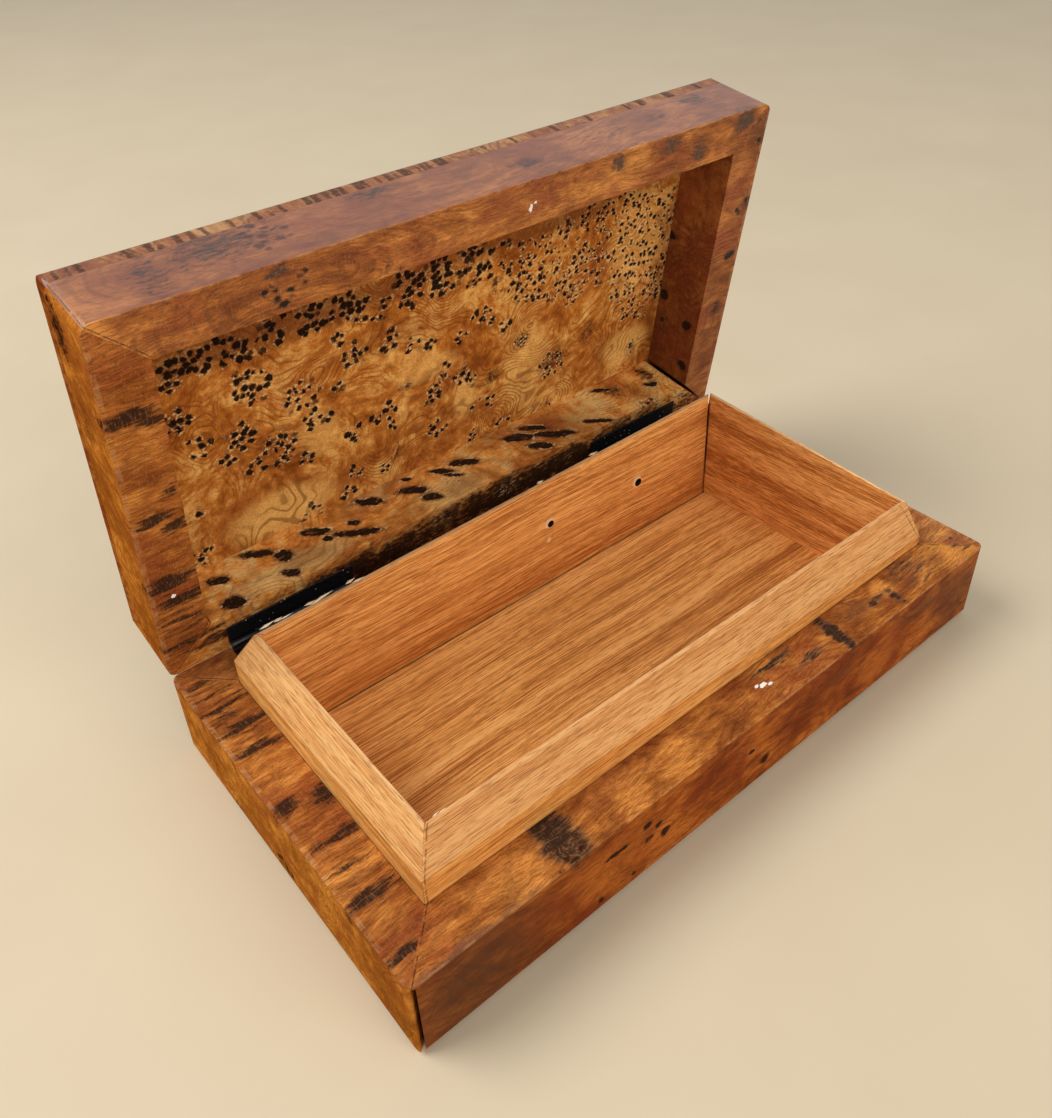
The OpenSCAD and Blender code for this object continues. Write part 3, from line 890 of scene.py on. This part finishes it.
def cedar_material(name, along, seed, gain):
    """Bare straight-grained cedar; along is the grain's axis, 0 for X and 1 for Y."""
    shader = Shader(name)
    true_place = shader.shut_place(False)
    place = shader.vector("ADD", true_place, seed)
    stretch = [0.014 if axis == along else 1.0 for axis in range(3)]
    streaks = shader.vector("MULTIPLY", shader.warped(place, 60, 1.6), stretch)
    band = shader.noise(streaks, 6, detail=2)
    line = shader.noise(streaks, 0.42, detail=4, roughness=0.85)
    pore_stretch = [0.07 if axis == along else 1.0 for axis in range(3)]
    pore = shader.noise(shader.vector("MULTIPLY", place, pore_stretch), 0.3, detail=2)
    shade = shader.step(band * 0.28 + line * 0.72, 0.38, 0.62)
    inner = shader.ramp(shade, CEDAR_INNER)
    cut = shader.ramp(shade, CEDAR_CUT)
    normal = Value(shader, shader.node("TexCoord").outputs["Normal"])
    _, _, facing_up = shader.split(normal)
    _, _, height_z = shader.split(place)
    above_rim = shader.step(height_z, BASE_RIM + 1, BASE_RIM + 2)
    colour = shader.mix(shader.step(facing_up, 0.15, 0.4) * above_rim, inner, cut)
    colour = shader.mix(shader.step(facing_up, 0.9, 0.98) * above_rim * 0.25, colour, CEDAR_PALE)
    colour = shader.mix(shader.step(pore, 0.52, 0.68) * 0.55, colour, CEDAR_PORE)
    colour = shader.mix(1.0, colour, gain, blend="MULTIPLY")
    if name == "lining_back":
        colour = worm_holes(shader, true_place, colour)
    if name == "floor_board":
        colour = open_seam(shader, true_place, colour)
    else:
        colour = shader.mix(mitre_seam(shader, true_place) * 0.6, colour, EYE_EDGE)
    relief = line * 0.6 - shader.step(pore, 0.55, 0.7) * 0.5
    principled = shader.finish(colour, 0.55 + 0.15 * line, relief, relief=0.08)
    principled.inputs["Specular IOR Level"].default_value = 0.2
    return shader.material


def plain_wood_material():
    shader = Shader("plain_wood")
    place = shader.shut_place(False)
    streaks = shader.vector("MULTIPLY", shader.warped(place, 40, 2), (0.04, 1, 1))
    grain = shader.noise(streaks, 1.6, detail=5, roughness=0.65)
    colour = shader.ramp(grain, PLAIN_WOOD)
    shader.finish(colour, 0.75, grain, relief=0.15)
    return shader.material


def black_lacquer_material(on_lid):
    """Gloss black lacquer with orange peel and a little dust."""
    shader = Shader("hinge_black_lid" if on_lid else "hinge_black_base")
    place = shader.shut_place(on_lid)
    peel = shader.noise(place, 0.9, detail=3)
    distance, chance, _ = shader.cells(place, 1.3)
    speck = shader.step(distance, 0.3, 0.15) * shader.step(chance[0], 0.26, 0.24)
    colour = shader.mix(speck * 0.8, LACQUER_BLACK, LACQUER_DUST)
    shader.finish(colour, peel * 0.2 + 0.15 + speck * 0.5, peel, relief=0.03)
    return shader.material


# --- Dressing the frame's nodes -----------------------------------------------------

GRAIN_ALONG_X = 0
GRAIN_ALONG_Y = 1
CEDAR_PIECES = {
    "lining_front": (GRAIN_ALONG_X, (0, 0, 0), (0.92, 0.87, 0.78)),
    "lining_back": (GRAIN_ALONG_X, (50, 30, 0), (1.0, 1.0, 1.0)),
    "lining_left": (GRAIN_ALONG_Y, (10, 60, 0), (1.0, 1.04, 1.0)),
    "lining_right": (GRAIN_ALONG_Y, (30, 90, 0), (1.1, 1.2, 1.3)),
    "floor_board": (GRAIN_ALONG_X, (0, 140, 0), (1.2, 1.35, 1.5)),
}
HINGED_WALLS = ("base_back_wall", "lid_back_wall")  # their sharp edges all but meet when open
WOOD_EDGE = 0.25  # rounding of sharp edges
METAL_EDGE = 0.12


def dress(node, material):
    piece = frame["nodes"][node]
    piece.data.materials.clear()
    piece.data.materials.append(material)


def soften(node, width):
    """Rounds a node's sharp edges. Its faces come apart at them, so they are first joined."""
    modifiers = frame["nodes"][node].modifiers
    modifiers.new("joined_faces", "WELD").merge_threshold = 0.001 * MM
    bevel = modifiers.new("soft_edges", "BEVEL")
    bevel.width = width * MM
    bevel.segments = 2
    bevel.limit_method = "ANGLE"
    bevel.angle_limit = math.radians(30)
    bevel.harden_normals = True


def dress_nodes():
    for node, look in LOOKS.items():
        on_lid = node.startswith("lid")
        dress(node, burl_material(node, look, on_lid))
        if node not in HINGED_WALLS:
            soften(node, WOOD_EDGE)
    dress("lid_top_panel", burl_material("lid_top_panel", PANEL_LOOK, True))
    soften("lid_top_panel", WOOD_EDGE)
    for node, (along, seed, gain) in CEDAR_PIECES.items():
        dress(node, cedar_material(node, along, seed, gain))
        soften(node, WOOD_EDGE)
    dress("bottom_board", plain_wood_material())
    lacquer = {on_lid: black_lacquer_material(on_lid) for on_lid in (False, True)}
    for node, piece in frame["nodes"].items():
        if "hinge" in node:
            dress(node, lacquer[piece["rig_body"] == "lid"])
            soften(node, METAL_EDGE)


# --- Paint flecks and splinters -----------------------------------------------------

PAINT_WHITE = (0.92, 0.90, 0.86)
TORN_CEDAR = (0.86, 0.68, 0.42)
GRUBBY = (0.62, 0.55, 0.45)
BASE_FLECKS = [((11, -47.3, BASE_RIM), (1.4, 0.8)), ((12.7, -48.2, BASE_RIM), (1.1, 0.45)),
               ((9.5, -46.5, BASE_RIM), (0.8, 0.45))]  # middle, half size
LID_FLECKS = [((11.5, -46.6, LID_RIM), (0.7, 1.2)), ((12.9, -47.8, LID_RIM), (0.5, 0.5)),
              ((-94.4, 26, LID_RIM), (0.8, 0.7))]
SPLINTER_MIDDLES = (-78, -75, -73, -66, -64, -62, -54, -52, 10, 31)  # x, on the back strip
STRIP_LEFT = -82  # x of the back strip's left end
STRIP_TOP = 42.6  # height of its top there; it rises 1 mm in STRIP_RUN
STRIP_RUN = 82
STRIP_Y = 36.4
CORNER_SLIVERS = [((-79.5, -35.0, 41.3), (-77.2, -34.6, 41.4)),  # start, end
                  ((-78.2, -35.1, 41.3), (-75.4, -34.8, 41.4))]


def opened(place):
    """A place in millimetres in the shut lid, as it stands in metres with the lid open."""
    turn = Matrix.Rotation(-LID_OPEN, 3, "X")
    return PIN + turn @ (Vector(place) * MM - PIN)


def add_piece(name, bodies, material, body, to_world):
    """One object from closed solids, each a (corners, faces) pair in millimetres."""
    mesh = bpy.data.meshes.new(name)
    shape = bmesh.new()
    for corners, faces in bodies:
        verts = [shape.verts.new(to_world(corner)) for corner in corners]
        for face in faces:
            shape.faces.new([verts[i] for i in face])
    bmesh.ops.recalc_face_normals(shape, faces=shape.faces)
    shape.to_mesh(mesh)
    shape.free()
    mesh.materials.append(material)
    piece = bpy.data.objects.new(name, mesh)
    bpy.context.scene.collection.objects.link(piece)
    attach(piece, body)


def fleck_body(rng, middle, half_size, up):
    """Low irregular crumb of paint on a level face; up is 1 or -1."""
    count = 14
    x, y, z = middle
    outline = [rng.uniform(0.55, 1.1) for _ in range(count)]
    corners = []
    for share, height in ((1.0, -0.05), (1.0, 0.05), (0.6, 0.14)):
        for i, reach in enumerate(outline):
            angle = 2 * math.pi * i / count
            corners.append((x + share * reach * half_size[0] * math.cos(angle),
                            y + share * reach * half_size[1] * math.sin(angle), z + up * height))
    faces = [tuple(range(count)), tuple(range(2 * count, 3 * count))]
    for ring in (0, count):
        for i in range(count):
            after = (i + 1) % count
            faces.append((ring + i, ring + after, ring + count + after, ring + count + i))
    return corners, faces


def splinter_body(start, end, width, height):
    """Slender closed sliver with two sharp ends."""
    start, end = Vector(start), Vector(end)
    waist = start.lerp(end, 0.4)
    side = (end - start).cross(Vector((0, 0, 1))).normalized() * width / 2
    lift = Vector((0, 0, height / 2))
    corners = [start, end, waist + side, waist + lift, waist - side, waist - lift]
    faces = []
    for i in range(4):
        after = 2 + (i + 1) % 4
        faces += [(0, 2 + i, after), (1, after, 2 + i)]
    return corners, faces


def flat_material(name, colour, roughness):
    shader = Shader(name)
    chalk = shader.noise(shader.metres_to_mm(shader.object_place()), 0.5, detail=3)
    shader.finish(shader.mix(chalk * 0.5, colour, GRUBBY), roughness, chalk, relief=0.05)
    return shader.material


def in_metres(place):
    return Vector(place) * MM


def add_paint_flecks():
    """White paint that pressed between the two rims, and a crumb on the lid's left rim."""
    rng = random.Random(11)
    paint = flat_material("paint_fleck", PAINT_WHITE, 0.6)
    crumbs = [fleck_body(rng, *spot, 1) for spot in BASE_FLECKS]
    add_piece("paint_flecks_base", crumbs, paint, "base", in_metres)
    crumbs = [fleck_body(rng, *spot, -1) for spot in LID_FLECKS]
    add_piece("paint_flecks_lid", crumbs, paint, "lid", opened)


def add_splinters():
    """Torn pale fibres along the back strip's top edge and at the lining's front left corner."""
    rng = random.Random(5)
    fibre = flat_material("torn_cedar", TORN_CEDAR, 0.7)
    slivers = []
    for middle in SPLINTER_MIDDLES:
        reach = rng.uniform(1.25, 3.0)
        top = STRIP_TOP + (middle - STRIP_LEFT) / STRIP_RUN + rng.uniform(-0.1, 0.2)
        y = STRIP_Y + rng.uniform(-0.2, 0.5)
        start = (middle - reach, y, top)
        end = (middle + reach, y + rng.uniform(-0.4, 0.4), top + 0.2)
        slivers.append(splinter_body(start, end, rng.uniform(0.6, 1.2), rng.uniform(0.3, 0.6)))
    slivers += [splinter_body(*ends, 0.4, 0.25) for ends in CORNER_SLIVERS]
    add_piece("lining_splinters", slivers, fibre, "base", in_metres)


make_camera()
make_lights()
make_floor()
dress_nodes()
add_paint_flecks()
add_splinters()
